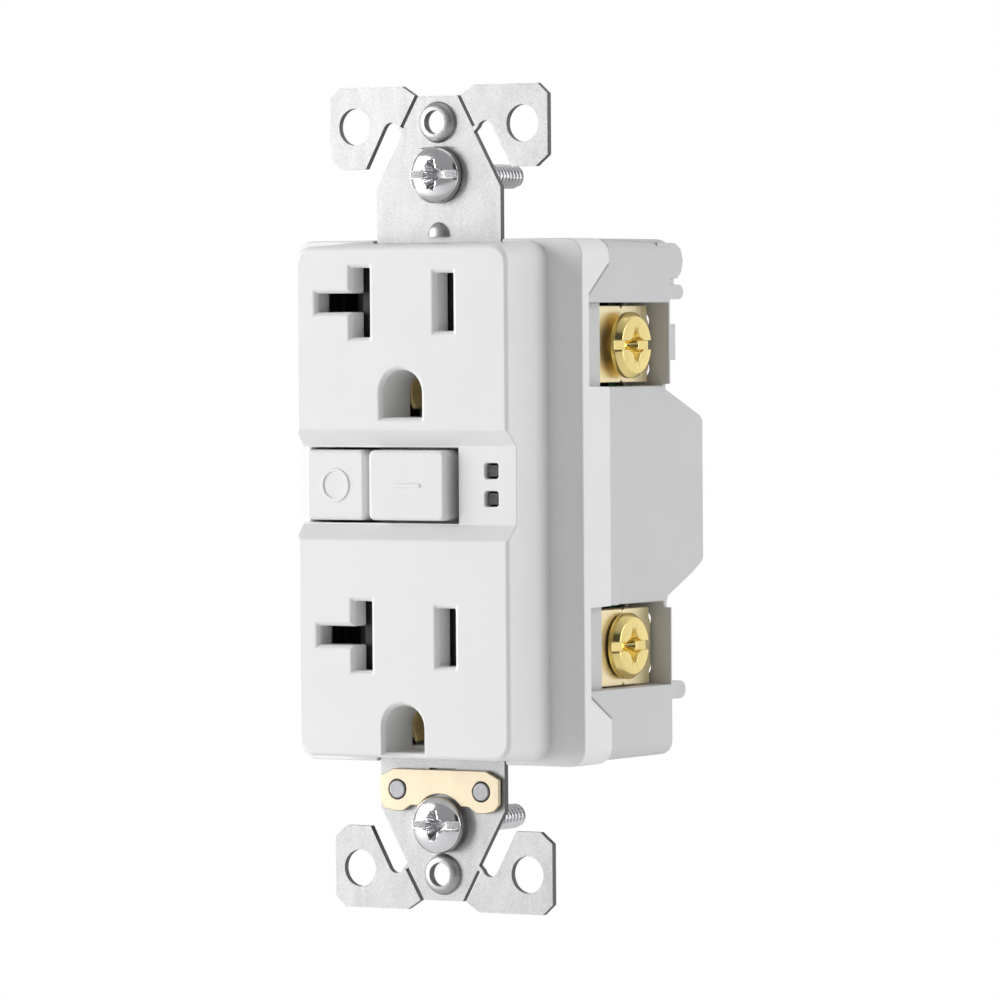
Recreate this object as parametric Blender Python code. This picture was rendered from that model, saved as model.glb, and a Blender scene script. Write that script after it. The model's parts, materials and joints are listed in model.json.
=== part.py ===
"""A duplex ground-fault receptacle, modelled piece by piece.

+X is to the right of someone who faces it, +Y points into the wall and +Z is up.
The origin is the middle of the strap's rear face, the plane that seats on the wall box.
Every size below is in millimetres; MM turns them into metres.
"""

import math

import bmesh
import bpy
from mathutils import Vector

MM = 0.001
GAP = 0.3  # left between pieces that touch or rest on each other
FINE_GAP = 0.1  # left round small rivets and contacts

# Depths along Y, from the face back to the hump.
FACE_Y = -10.3
BAND_Y = -8.4
FLANGE_Y = -1.2
STRAP_Y = -0.9
SKIRT_Y = 5.6
HOUSING_Y = 5.9
SEPARATOR_Y = (0.3, 8.6)
BOARD_Y = (16.0, 17.6)
BACK_Y = 21.8
TOP_BACK_Y = 23.2
HUMP_Y = 29.7

# Outer sizes across X and up Z.
COVER_X, COVER_Z = 21.7, (-34.05, 33.35)
BLOCK_X, BLOCK_Z = 16.5, (-33.35, 32.95)
BLOCK_DRAFT = 0.5
HOUSING_X, HOUSING_Z = 21.4, (-33.65, 33.3)
SEPARATOR_X, SEPARATOR_Z = 19.5, (-32.2, 31.7)
CAVITY_X, CAVITY_Z = 14.6, (-31.7, 31.4)
TRAY_Z = (CAVITY_Z[0] + GAP, CAVITY_Z[1] - GAP)

# The plug openings: height of the blade slots and of the round part of the ground hole.
SLOT_Z = {"upper": 25.3, "lower": -17.4}
GROUND_Z = {"upper": 13.75, "lower": -29.1}
SHUTTER_HALF = 5.8
GROUND_R, GROUND_DROP = 2.95, 3.15
RIM = 0.45

# The band between the receptacles, with the two buttons and the two lamp windows.
BAND_Z = (-3.1, 7.0)
BAND_CHAMFER = 2.0
BUTTON_Z = (-2.95, 6.75)
TEST_X, TEST_Z, TEST_FACE_Y = (-15.4, -6.4), (-2.6, 6.4), -9.05
RESET_X, RESET_Z, RESET_FACE_Y = (-5.2, 6.3), (-2.55, 6.4), -10.0
RESET_PIN = (0.55, 1.9)
TEST_STEM_X, TEST_STEM_Z = (-12.6, -10.8), (0.8, 2.6)
LAMP_X, LAMP_Z = 12.4, (3.8, 0.25)

# The strap: ears, holes and the lower brass clip.
BAND_HALF = 9.4
EAR_HOLE = (12.75, 48.06)
PLATE_HOLE_Z = 48.42
MOUNT_SCREW_Z = 41.67
SCREW_HEAD_R = 3.7
SCREW_PLACE = {"upper": (-1.1, 41.67), "lower": (-1.7, -42.0)}
CLIP_Y = (-1.75, -1.2)
RIVET = (6.37, -37.57)
GROUND_TAB = (8.6, -37.9)
GROUND_HEX_R = 3.6

# The side terminals.
TERMINAL_Y, TERMINAL_Z = 13.2, {"upper": 19.6, "lower": -19.2}
TAB_X = (16.0, 17.0)
CLAMP_X = (18.0, 18.8)
CLAMP_Y = (7.2, 19.8)
POCKET_Z = {"upper": (14.3, 25.1), "lower": (-24.5, -13.7)}
HEAD_X = {"upper": 19.7, "lower": 19.05}

CASE_SCREW_X, CASE_SCREW_Z = 16.4, {"upper": 28.7, "lower": -29.2}
CASE_HEAD_Y = BACK_Y - 1.4

FINISHES = {
    "white_plastic": ((0.87, 0.87, 0.86), 0.0, 0.35),
    "housing_plastic": ((0.80, 0.80, 0.79), 0.0, 0.45),
    "black_plastic": ((0.02, 0.02, 0.02), 0.0, 0.5),
    "zinc_steel": ((0.62, 0.63, 0.65), 1.0, 0.42),
    "bright_steel": ((0.72, 0.72, 0.73), 1.0, 0.2),
    "brass": ((0.78, 0.62, 0.34), 1.0, 0.32),
    "nickel": ((0.68, 0.66, 0.62), 1.0, 0.3),
    "green_steel": ((0.05, 0.32, 0.14), 0.8, 0.35),
    "bronze": ((0.72, 0.47, 0.27), 1.0, 0.35),
    "fibre": ((0.45, 0.12, 0.08), 0.0, 0.8),
    "board": ((0.03, 0.20, 0.10), 0.0, 0.5),
    "copper_winding": ((0.60, 0.27, 0.12), 0.7, 0.4),
    "clear_plastic": ((0.85, 0.87, 0.88), 0.0, 0.1),
    "component_blue": ((0.06, 0.16, 0.42), 0.0, 0.4),
    "component_amber": ((0.55, 0.33, 0.08), 0.0, 0.4),
}


# Outlines and solids


def arc(centre, radius, start, end, steps=6):
    """Points on a circle from one angle to another, in degrees."""
    turns = [math.radians(start + (end - start) * i / steps) for i in range(steps + 1)]
    return [(centre[0] + radius * math.cos(t), centre[1] + radius * math.sin(t)) for t in turns]


def circle(centre, radius, steps=24):
    return arc(centre, radius, 0, 360, steps)[:-1]


def rect(x, z, grow=0.0):
    return [
        (x[1] + grow, z[1] + grow),
        (x[0] - grow, z[1] + grow),
        (x[0] - grow, z[0] - grow),
        (x[1] + grow, z[0] - grow),
    ]


def round_rect(x, z, radius, steps=4):
    return (
        arc((x[1] - radius, z[1] - radius), radius, 0, 90, steps)
        + arc((x[0] + radius, z[1] - radius), radius, 90, 180, steps)
        + arc((x[0] + radius, z[0] + radius), radius, 180, 270, steps)
        + arc((x[1] - radius, z[0] + radius), radius, 270, 360, steps)
    )


def placed(a, b, height, axis):
    """The point of an outline at a height along its axis."""
    return {"X": (height, a, b), "Y": (a, height, b), "Z": (a, b, height)}[axis]


def loft(rings, axis="Y", ring=False):
    """A closed body through outlines of equal length, each paired with its height along axis."""
    mesh = bmesh.new()
    loops = [[mesh.verts.new(placed(a, b, height, axis)) for a, b in outline] for outline, height in rings]
    joins = list(zip(loops, loops[1:]))
    if ring:
        joins.append((loops[-1], loops[0]))
    for low, high in joins:
        for i in range(len(low)):
            j = (i + 1) % len(low)
            mesh.faces.new((low[i], low[j], high[j], high[i]))
    if not ring:
        mesh.faces.new(loops[0])
        mesh.faces.new(loops[-1][::-1])
    bmesh.ops.recalc_face_normals(mesh, faces=mesh.faces[:])
    return mesh


def prism(outline, low, high, axis="Y"):
    return loft([(outline, low), (outline, high)], axis)


def box(x, y, z):
    return prism(rect(x, z), *y)


def turned(profile, centre, axis="Y", steps=24, ring=False):
    """A body of revolution from (radius, height) pairs; a ring's profile closes on itself."""
    return loft([(circle(centre, radius, steps), height) for radius, height in profile], axis, ring)


def tube(centre, inner, outer, low, high, axis="Y", steps=16):
    profile = [(outer, low), (outer, high), (inner, high), (inner, low)]
    return turned(profile, centre, axis, steps, ring=True)


def both_sides(span):
    """The span and its mirror image."""
    return (span, (-span[1], -span[0]))


# Objects


def material(name):
    found = bpy.data.materials.get(name)
    if found:
        return found
    colour, metallic, roughness = FINISHES[name]
    made = bpy.data.materials.new(name)
    made.use_nodes = True
    shader = made.node_tree.nodes["Principled BSDF"]
    shader.inputs["Base Color"].default_value = (*colour, 1.0)
    shader.inputs["Metallic"].default_value = metallic
    shader.inputs["Roughness"].default_value = roughness
    return made


def add_object(name, mesh, pivot=(0.0, 0.0, 0.0)):
    bmesh.ops.translate(mesh, vec=-Vector(pivot), verts=mesh.verts)
    bmesh.ops.scale(mesh, vec=(MM, MM, MM), verts=mesh.verts)
    data = bpy.data.meshes.new(name)
    mesh.to_mesh(data)
    mesh.free()
    obj = bpy.data.objects.new(name, data)
    obj.location = Vector(pivot) * MM
    bpy.context.scene.collection.objects.link(obj)
    return obj


def combine(obj, tool, operation):
    """Adds a Boolean with a hidden helper made from the tool's mesh."""
    helper = add_object(f"{obj.name}_{operation.lower()}_{len(obj.modifiers)}", tool)
    helper.hide_render = True
    helper.display_type = "WIRE"
    modifier = obj.modifiers.new(helper.name, "BOOLEAN")
    modifier.operation = operation
    modifier.object = helper


def piece(name, finish, mesh, adds=(), cuts=(), pivot=(0.0, 0.0, 0.0)):
    """One sub-part: a first solid, the solids joined to it and the solids cut from it."""
    obj = add_object(name, mesh, pivot)
    obj.data.materials.append(material(finish))
    obj.data.shade_smooth()
    obj.data.set_sharp_from_angle(angle=math.radians(35))
    for tool in adds:
        combine(obj, tool, "UNION")
    for tool in cuts:
        combine(obj, tool, "DIFFERENCE")
    return obj


# Plug openings


def neutral_outline(end, grow=0.0):
    """The T of the neutral slot: an upright bar with a stem towards -X."""
    z = SLOT_Z[end]
    right, left, tip = -4.85 + grow, -7.45 - grow, -12.75 - grow
    bar, stem = 4.45 + grow, 1.2 + grow
    return [
        (right, z + bar),
        (left, z + bar),
        (left, z + stem),
        (tip, z + stem),
        (tip, z - stem),
        (left, z - stem),
        (left, z - bar),
        (right, z - bar),
    ]


def hot_outline(end, grow=0.0):
    z = SLOT_Z[end]
    return rect((5.3, 7.8), (z - 3.7, z + 3.7), grow)


def ground_outline(end, grow=0.0, foot=None):
    """The ground hole: round above and square below."""
    z = GROUND_Z[end]
    radius = GROUND_R + grow
    bottom = z - GROUND_DROP - (grow if foot is None else foot)
    return arc((0, z), radius, 0, 180, 12) + [(-radius, bottom), (radius, bottom)]


def opening_cut(outline, end, depth):
    """A hole through the face with a small chamfer round its rim."""
    beyond = 0.4
    rings = [
        (outline(end, RIM + beyond), FACE_Y - beyond),
        (outline(end), FACE_Y + RIM),
        (outline(end), depth),
    ]
    return loft(rings)


# Cover


def block_outline(inset, radius):
    x = (-BLOCK_X + inset, BLOCK_X - inset)
    z = (BLOCK_Z[0] + inset, BLOCK_Z[1] - inset)
    return round_rect(x, z, radius, 5)


def cover_adds():
    edge = 0.4
    yield loft(
        [
            (block_outline(0, 2.5), FLANGE_Y + 0.6),
            (block_outline(0, 2.5), FLANGE_Y),
            (block_outline(BLOCK_DRAFT - 0.1, 2.3), FACE_Y + edge),
            (block_outline(BLOCK_DRAFT + edge - 0.1, 2.0), FACE_Y),
        ]
    )


def cover_collars():
    skin = FACE_Y + 1.7
    for end in SLOT_Z:
        yield prism(neutral_outline(end, 1.0), skin, -7.1)
        yield prism(hot_outline(end, 1.0), skin, -7.1)
        yield prism(ground_outline(end, 1.3, 0.3), skin, -3.3)


def cover_bosses():
    for end in CASE_SCREW_Z:
        for x in (-CASE_SCREW_X, CASE_SCREW_X):
            yield turned([(2.0, -0.6), (2.0, 5.0)], (x, CASE_SCREW_Z[end]), steps=16)


def cover_hollows():
    skin, thin_skin = FACE_Y + 2.0, BAND_Y + 1.5
    yield prism(round_rect((-20.3, 20.3), (-32.65, 31.95), 1.0, 3), 0.0, SKIRT_Y + 1)
    yield box((-CAVITY_X, CAVITY_X), (thin_skin, 1.0), CAVITY_Z)
    yield box((-CAVITY_X, CAVITY_X), (skin, thin_skin + 0.2), (BAND_Z[1] + BAND_CHAMFER, CAVITY_Z[1]))
    yield box((-CAVITY_X, CAVITY_X), (skin, thin_skin + 0.2), (CAVITY_Z[0], BAND_Z[0] - BAND_CHAMFER))


def band_cut():
    """The trough across the face that the buttons stand in."""
    beyond = 0.5
    slope = BAND_CHAMFER * (1 + beyond / (BAND_Y - FACE_Y))
    outline = [
        (FACE_Y - beyond, BAND_Z[1] + slope),
        (BAND_Y, BAND_Z[1]),
        (BAND_Y, BAND_Z[0]),
        (FACE_Y - beyond, BAND_Z[0] - slope),
    ]
    return prism(outline, -BLOCK_X - 1, BLOCK_X + 1, "X")


def cover_openings():
    yield band_cut()
    yield box((-15.75, 7.5), (BAND_Y - 1, -4.0), BUTTON_Z)
    yield box((-BLOCK_X - 1, -15.0), (BAND_Y - 1, -7.2), BUTTON_Z)
    for z in LAMP_Z:
        yield prism(round_rect((LAMP_X - 1, LAMP_X + 1), (z - 1, z + 1), 0.3, 2), BAND_Y - 1, -6.0)
    for end in SLOT_Z:
        yield opening_cut(neutral_outline, end, -6.5)
        yield opening_cut(hot_outline, end, -6.5)
        yield opening_cut(ground_outline, end, -3.0)
        yield box((-9.75, 9.75), (FLANGE_Y, SKIRT_Y + 1), sorted((31.0 * sign(end), 36.0 * sign(end))))
    for end in CASE_SCREW_Z:
        for x in (-CASE_SCREW_X, CASE_SCREW_X):
            yield turned([(1.25, 0.4), (1.25, 6.0)], (x, CASE_SCREW_Z[end]), steps=12)
    yield from side_cuts()


def sign(end):
    return 1 if end == "upper" else -1


def side_cuts():
    """The skirt is cut away at the four terminal pockets, with a slanted outer end."""
    upper = [(0.55, 14.45), (7.0, 14.3), (7.0, 31.36), (0.55, 26.2)]
    lower = [(0.55, -13.85), (7.0, -13.7), (7.0, -29.1), (0.55, -25.35)]
    for outline in (upper, lower):
        for x in both_sides((19.6, 23.0)):
            yield prism(outline, *x, "X")


def make_cover():
    skirt = prism(round_rect((-COVER_X, COVER_X), COVER_Z, 2.2), FLANGE_Y, SKIRT_Y)
    obj = piece("front_cover", "white_plastic", skirt, cover_adds(), cover_hollows())
    for tool in (*cover_collars(), *cover_bosses()):
        combine(obj, tool, "UNION")
    for tool in cover_openings():
        combine(obj, tool, "DIFFERENCE")


# Strap and its fittings


def strap_quarter():
    """The strap's edge from the top of its tongue to its waist, on the +X +Z side."""
    slit = [(2.95, 51.84), (5.2, 47.75), (5.8, 47.95), (3.5, 51.9)]
    ear = [(5.5, 53.15), (15.0, 53.15), (16.5, 51.8), (16.5, 44.0), (14.7, 42.55), (11.1, 42.55)]
    notch = arc((7.15, 47.35), 1.2, 29, 165, 5) + [(5.44, 47.1)]
    return [*slit, *ear, *notch, (BAND_HALF, 40.0)]


def strap_outline():
    quarter = strap_quarter()
    back = quarter[::-1]
    return (
        quarter
        + [(x, -z) for x, z in back]
        + [(-x, -z) for x, z in quarter]
        + [(-x, z) for x, z in back]
    )


def lens(half_width, half_height, z):
    """A long thin outline with pointed ends."""
    upper = [(half_width * t, z + half_height * (1 - t * t)) for t in (1, 0.5, 0, -0.5)]
    lower = [(half_width * t, z - half_height * (1 - t * t)) for t in (-1, -0.5, 0, 0.5)]
    return upper + lower


def wallplate_bosses():
    for s in (1, -1):
        profile = [(2.7, STRAP_Y + 0.3), (2.7, STRAP_Y), (2.45, STRAP_Y - 0.6)]
        profile += [(2.1, STRAP_Y - 0.85), (1.8, STRAP_Y - 0.9)]
        yield turned(profile, (0, PLATE_HOLE_Z * s), steps=24)


def strap_rib():
    """A short pressed rib where the strap leaves the cover at the top."""
    rings = []
    profile = [(1.6, STRAP_Y + 0.3), (1.6, STRAP_Y), (1.35, STRAP_Y - 0.45), (0.8, STRAP_Y - 0.75)]
    for radius, height in profile:
        crown = arc((0, 34.0), radius, 0, 180, 8)
        rings.append(([*crown, (-radius, 33.7), (radius, 33.7)], height))
    return loft(rings)


def ground_tab():
    """The ear folded back at the lower left, which the ground screw threads into."""
    y, z = GROUND_TAB
    outline = round_rect((-0.5, y + 4.2), (z - 2.4, z + 2.4), 0.8, 3)
    return prism(outline, -BAND_HALF, -BAND_HALF + 0.9, "X")


def strap_windows():
    through = (STRAP_Y - 1.5, 1.0)
    for end, z in SLOT_Z.items():
        yield box((-BAND_HALF - 1, -4.0), through, (z - 6.0, z + 6.0))
        yield box((3.9, BAND_HALF + 1), through, (z - 5.3, z + 5.3))
        ground = GROUND_Z[end]
        yield prism(round_rect((-4.6, 4.6), (ground - 3.7, ground + 4.6), 1.0, 2), *through)
    x, z = RESET_PIN
    yield prism(circle((x, z), 3.8, 20), *through)


def strap_holes():
    through = (STRAP_Y - 1.5, 1.0)
    for s in (1, -1):
        yield prism(lens(2.8, 0.24, 45.1 * s), STRAP_Y - 0.5, STRAP_Y + 0.35)
        for x in (EAR_HOLE[0], -EAR_HOLE[0]):
            yield prism(circle((x, EAR_HOLE[1] * s), 2.4, 36), *through)
        yield prism(circle((0, PLATE_HOLE_Z * s), 1.55, 24), *through)
        yield turned([(2.0, 0.5), (2.0, 0.0), (1.75, -0.6)], (0, PLATE_HOLE_Z * s), steps=16)
        screw_z = MOUNT_SCREW_Z * s
        yield prism(round_rect((-3.1, 3.1), (screw_z - 2.1, screw_z + 2.1), 2.05, 5), *through)
        yield prism(circle((RIVET[0] * s, RIVET[1]), 1.0, 12), *through)
    yield box((-2.0, 2.0), (STRAP_Y - 0.5, STRAP_Y + 0.7), (-35.2, -34.7))
    yield prism(circle(GROUND_TAB, 2.25, 16), -BAND_HALF - 1, -BAND_HALF + 2, "X")


def make_strap():
    plate = prism(strap_outline(), STRAP_Y, 0.0)
    adds = (*wallplate_bosses(), strap_rib(), ground_tab())
    piece("mounting_strap", "zinc_steel", plate, adds, (*strap_windows(), *strap_holes()))


def clip_outline():
    top = [(7.0, -34.9), (9.05, -35.9), (9.05, -39.2)]
    half = [*top, (8.3, -40.05), (7.0, -40.36), (5.6, -40.36), (4.4, -39.6)]
    bite = arc((0, SCREW_PLACE["lower"][1]), SCREW_HEAD_R + GAP, 37, 143, 14)
    return half + bite + [(-x, z) for x, z in half[::-1]]


def make_clip():
    holes = [prism(circle((RIVET[0] * s, RIVET[1]), 1.35, 14), -3.0, 0.0) for s in (1, -1)]
    piece("grounding_clip", "brass", prism(clip_outline(), *CLIP_Y), cuts=holes)
    front, shoulder, rear = CLIP_Y[0] - 0.15, STRAP_Y - FINE_GAP, FINE_GAP
    profile = [(1.1, front), (1.2, front + 0.1), (1.2, shoulder), (0.75, shoulder), (0.75, rear)]
    profile += [(1.3, rear), (1.0, rear + 0.45)]
    for side, x in (("right", RIVET[0]), ("left", -RIVET[0])):
        piece(f"clip_rivet_{side}", "zinc_steel", turned(profile, (x, RIVET[1]), steps=14))


def domed_head(radius, base, top, steps=4):
    """Profile of a low domed screw head, from its crown down to its flat underside."""
    rim = base + (top - base) * 0.35
    turns = [math.radians(84 * i / steps) for i in range(steps, 0, -1)]
    dome = [(radius * math.cos(t), rim + (top - rim) * math.sin(t)) for t in turns]
    return [*dome, (radius, rim), (radius, base)]


def make_mounting_screws():
    for end, (base, z) in SCREW_PLACE.items():
        head = domed_head(SCREW_HEAD_R, base, base - 1.9)
        tip = base + 19.5
        profile = [*head, (1.6, base), (1.6, tip - 0.8), (1.0, tip)]
        slot = box((-4.2, 4.2), (base - 3.0, base - 1.0), (z - 0.45, z + 0.45))
        screw = turned(profile, (0, z), steps=20)
        piece(f"mounting_screw_{end}", "bright_steel", screw, cuts=[slot], pivot=(0, base, z))
        washer = tube((0, z), 1.95, 3.4, 3.2, 3.9)
        piece(f"retaining_washer_{end}", "fibre", washer, pivot=(0, 3.2, z))


def make_ground_contacts():
    for end, z in GROUND_Z.items():
        outline = arc((0, z), 3.6, -38, 218, 14) + arc((0, z), 3.05, 218, -38, 14)
        wings = [box(x, (0.4, 1.0), (z - 1.6, z + 2.6)) for x in both_sides((3.4, 6.2))]
        piece(f"ground_contact_{end}", "bronze", prism(outline, -2.9, 6.0), adds=wings)


# Shutters and their tray


def make_tray():
    plate = prism(rect((-14.3, 14.3), TRAY_Z), -4.6, -3.4)
    adds = [box(x, (-3.6, 0.0), TRAY_Z) for x in both_sides((13.0, 14.3))]
    cuts = [box((-15.0, 7.9), (-5.0, 0.5), (-3.7, 7.5))]
    cuts += [box((LAMP_X - 1.1, LAMP_X + 1.1), (-5.0, 0.5), (z - 1.1, z + 1.1)) for z in LAMP_Z]
    for end, z in SLOT_Z.items():
        adds.append(box((13.9, 14.3), (-6.6, -4.4), (z - SHUTTER_HALF, z + SHUTTER_HALF)))
        cuts.append(prism(neutral_outline(end, 0.8), -5.0, -3.0))
        cuts.append(prism(hot_outline(end, 0.8), -5.0, -3.0))
        cuts.append(prism(ground_outline(end, 1.75, 0.65), -5.0, -3.0))
    piece("shutter_tray", "black_plastic", plate, adds, cuts)


def make_shutters():
    for end, z in SLOT_Z.items():
        plate = box((-13.5, 8.9), (-6.7, -4.9), (z - SHUTTER_HALF, z + SHUTTER_HALF))
        cuts = [
            box((-11.4, -8.0), (-8.0, -4.0), (z - 5.0, z + 5.0)),
            box((-14.5, -11.0), (-8.0, -4.0), (z - 1.8, z + 1.8)),
            box((1.2, 4.6), (-8.0, -4.0), (z - 4.2, z + 4.2)),
        ]
        piece(f"shutter_{end}", "black_plastic", plate, cuts=cuts, pivot=(8.9, -5.8, z))
        spring = tube((-5.8, z + 4.6), 0.45, 0.85, 9.2, 13.6, "X", 10)
        piece(f"shutter_spring_{end}", "bright_steel", spring, pivot=(13.6, -5.8, z + 4.6))


# Separator and contacts


def separator_cuts():
    front, rear = SEPARATOR_Y[0] - 0.5, SEPARATOR_Y[1] + 0.5
    for x in both_sides((3.8, 9.9)):
        yield box(x, (front, 7.4), (-24.2, 31.2))
    for z in GROUND_Z.values():
        yield prism(round_rect((-3.9, 3.9), (z - 2.6, z + 3.95), 1.2, 3), front, rear)
        yield box((-6.5, 6.5), (front, 1.3), (z - 1.9, z + 2.9))
    yield prism(circle(RESET_PIN, 3.3, 16), front, 6.0)
    yield prism(circle(RESET_PIN, 1.9, 16), front, rear)
    yield box((-12.9, -10.5), (front, rear), (0.5, 2.9))
    for z in LAMP_Z:
        yield box((LAMP_X - 1.1, LAMP_X + 1.1), (front, rear), (z - 1.1, z + 1.1))
    for x in both_sides((7.0, 9.6)):
        yield box(x, (6.0, rear), (-1.6, 1.6))
    for x in both_sides((11.6, 18.2)):
        yield box(x, (2.0, rear), (6.2, 25.6))
        yield box(x, (2.0, rear), (-25.8, -2.2))
    for x in both_sides((17.0, 20.0)):
        for z in POCKET_Z.values():
            yield box(x, (6.8, rear), z)
    for z in CASE_SCREW_Z.values():
        for x in (-CASE_SCREW_X, CASE_SCREW_X):
            yield prism(circle((x, z), 2.35, 16), front, 5.3)
            yield prism(circle((x, z), 1.3, 12), 5.0, rear)


def make_separator():
    block = prism(round_rect((-SEPARATOR_X, SEPARATOR_X), SEPARATOR_Z, 0.8, 2), *SEPARATOR_Y)
    piece("separator", "white_plastic", block, cuts=separator_cuts())


def make_face_contacts():
    """One strip each side carries both receptacles' spring leaves and a fixed contact."""
    for side, s in (("hot", 1), ("neutral", -1)):
        span = sorted((4.3 * s, 9.4 * s))
        strip = box(span, (6.2, 6.9), (-23.7, 30.7))
        leaves, windows = [], []
        for z in SLOT_Z.values():
            for x in (4.6, 7.6):
                leaves.append(box(sorted((x * s, (x + 0.5) * s)), (1.3, 6.4), (z - 3.4, z + 3.4)))
            windows.append(box(sorted((5.3 * s, 7.3 * s)), (5.0, 8.0), (z - 4.2, z + 4.2)))
        tail = box(sorted((7.6 * s, 9.0 * s)), (6.5, 10.2), (-1.2, 1.2))
        piece(f"{side}_contact_strip", "bronze", strip, [*leaves, tail], windows)


def make_terminals():
    """Tapped plates in the side pockets, each with a foot that carries a fixed contact."""
    for feed, end in (("load", "upper"), ("line", "lower")):
        for side, s in (("hot", 1), ("neutral", -1)):
            z, axis_z = sign(end), TERMINAL_Z[end]
            tab_z = sorted((axis_z - 4.8 * z, axis_z + 5.0 * z))
            tab = box(sorted((TAB_X[0] * s, TAB_X[1] * s)), (9.0, 19.7), tab_z)
            foot = box(sorted((7.3 * s, 16.5 * s)), (9.0, 9.9), sorted((15.9 * z, 22.4 * z)))
            button = turned([(1.2, 9.6), (1.2, 10.2)], (8.7 * s, 17.4 * z), steps=12)
            bore = circle((TERMINAL_Y, axis_z), 2.25, 16)
            hole = prism(bore, *sorted((14.0 * s, 20.0 * s)), "X")
            finish = "brass" if side == "hot" else "nickel"
            piece(f"{feed}_{side}_terminal", finish, tab, [foot, button], [hole])


def clamp_outline(axis_z, z):
    """The pressure plate: a small V in its outer and inner edges, and a shallow bay behind."""
    low, high, nick, bay = -4.8, 5.1, 0.35, 0.65
    front, rear = CLAMP_Y
    points = [(rear, low), (rear, -3.5), (rear - bay, -2.9), (rear - bay, 2.9), (rear, 3.5), (rear, high)]
    points += [(TERMINAL_Y + nick, high), (TERMINAL_Y, high - nick), (TERMINAL_Y - nick, high)]
    points += [(front, high), (front, low)]
    points += [(TERMINAL_Y - nick, low), (TERMINAL_Y, low + nick), (TERMINAL_Y + nick, low)]
    return [(y, axis_z + height * z) for y, height in points]


def make_clamps():
    for feed, end in (("load", "upper"), ("line", "lower")):
        for side, s in (("hot", 1), ("neutral", -1)):
            finish = "brass" if side == "hot" else "nickel"
            centre = (TERMINAL_Y, TERMINAL_Z[end])
            outline = clamp_outline(TERMINAL_Z[end], sign(end))
            plate = prism(outline, *sorted((CLAMP_X[0] * s, CLAMP_X[1] * s)), "X")
            hole = prism(circle(centre, 2.25, 16), *sorted((17.0 * s, 20.0 * s)), "X")
            piece(f"{feed}_{side}_clamp", finish, plate, cuts=[hole], pivot=(CLAMP_X[0] * s, *centre))
            base, top = HEAD_X[end] * s, (HEAD_X[end] + 1.5) * s
            profile = [(1.3, base - 7.6 * s), (1.9, base - 7.0 * s), (1.9, base), (4.3, base)]
            profile += [(4.3, base + 0.7 * s), (3.65, top), (0.6, top + 0.1 * s)]
            across = (TERMINAL_Y - 5, TERMINAL_Y + 5)
            slot = box(sorted((base + 0.7 * s, top + s)), across, (centre[1] - 0.55, centre[1] + 0.55))
            screw = turned(profile, centre, "X", 20)
            piece(f"{feed}_{side}_screw", finish, screw, cuts=[slot], pivot=(base, *centre))


def make_ground_terminal():
    y, z = GROUND_TAB
    washer = box((-10.4, -9.7), (y - 3.4, y + 3.6), (z - 2.4, z + 2.4))
    hole = prism(circle(GROUND_TAB, 2.2, 16), -12, -9, "X")
    piece("ground_clamp", "zinc_steel", washer, cuts=[hole], pivot=(-9.7, y, z))
    base = -10.7
    hexagon = circle(GROUND_TAB, GROUND_HEX_R, 6)
    crown = circle(GROUND_TAB, GROUND_HEX_R - 0.5, 6)
    head = loft([(hexagon, base), (hexagon, base - 1.9), (crown, base - 2.3)], "X")
    shank = turned([(1.9, base - 0.5), (1.9, base + 5.4), (1.3, base + 6.2)], GROUND_TAB, "X", 16)
    slot = box((base - 3, base - 1.1), (y - 5, y + 5), (z - 0.5, z + 0.5))
    piece("ground_screw", "green_steel", head, [shank], [slot], (base, y, z))


# Buttons and the trip mechanism


def button_cap(x, z, face, edge, rear):
    """A cap with a soft edge round its face and slightly drafted sides."""
    draft = 0.12
    steps = ((edge, 0.6, face), (edge * 0.3, 0.75, face + edge * 0.35))
    steps += ((0.0, 0.8, face + edge), (-draft, 0.85, rear))
    rings = []
    for inset, corner, height in steps:
        sides = (x[0] + inset, x[1] - inset), (z[0] + inset, z[1] - inset)
        rings.append((round_rect(*sides, corner, 3), height))
    return loft(rings)


def make_test_button():
    cap = button_cap(TEST_X, TEST_Z, TEST_FACE_Y, 0.5, -5.4)
    stem = box(TEST_STEM_X, (-5.6, 14.2), TEST_STEM_Z)
    centre = (sum(TEST_X) / 2, sum(TEST_Z) / 2)
    ring = tube(centre, 1.7, 2.2, TEST_FACE_Y - 0.15, TEST_FACE_Y + 0.3, steps=24)
    pivot = (centre[0], TEST_FACE_Y, centre[1])
    piece("test_button", "white_plastic", cap, [stem, ring], pivot=pivot)
    spring = tube((-7.7, 4.3), 0.7, 1.15, -5.1, STRAP_Y - GAP, steps=10)
    piece("test_spring", "bright_steel", spring, pivot=(-7.7, STRAP_Y, 4.3))


def make_reset_button():
    cap = button_cap(RESET_X, RESET_Z, RESET_FACE_Y, 0.45, -5.4)
    bar = box((-1.6, 2.7), (RESET_FACE_Y - 0.15, RESET_FACE_Y + 0.3), (1.65, 2.15))
    bore = turned([(1.65, -8.0), (1.65, -5.0)], RESET_PIN, steps=14)
    pivot = (RESET_PIN[0], RESET_FACE_Y, RESET_PIN[1])
    piece("reset_button", "white_plastic", cap, [bar], [bore], pivot)
    profile = [(1.3, -7.7), (1.3, -4.4), (3.0, -4.4), (3.0, -3.6), (1.3, -3.6), (1.3, 18.6), (0.9, 19.6)]
    pin = turned(profile, RESET_PIN, steps=14)
    piece("reset_pin", "bright_steel", pin, pivot=(RESET_PIN[0], -7.7, RESET_PIN[1]))
    spring = tube(RESET_PIN, 1.95, 2.75, -3.3, 5.7, steps=14)
    piece("reset_spring", "bright_steel", spring, pivot=(RESET_PIN[0], 5.7, RESET_PIN[1]))


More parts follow.
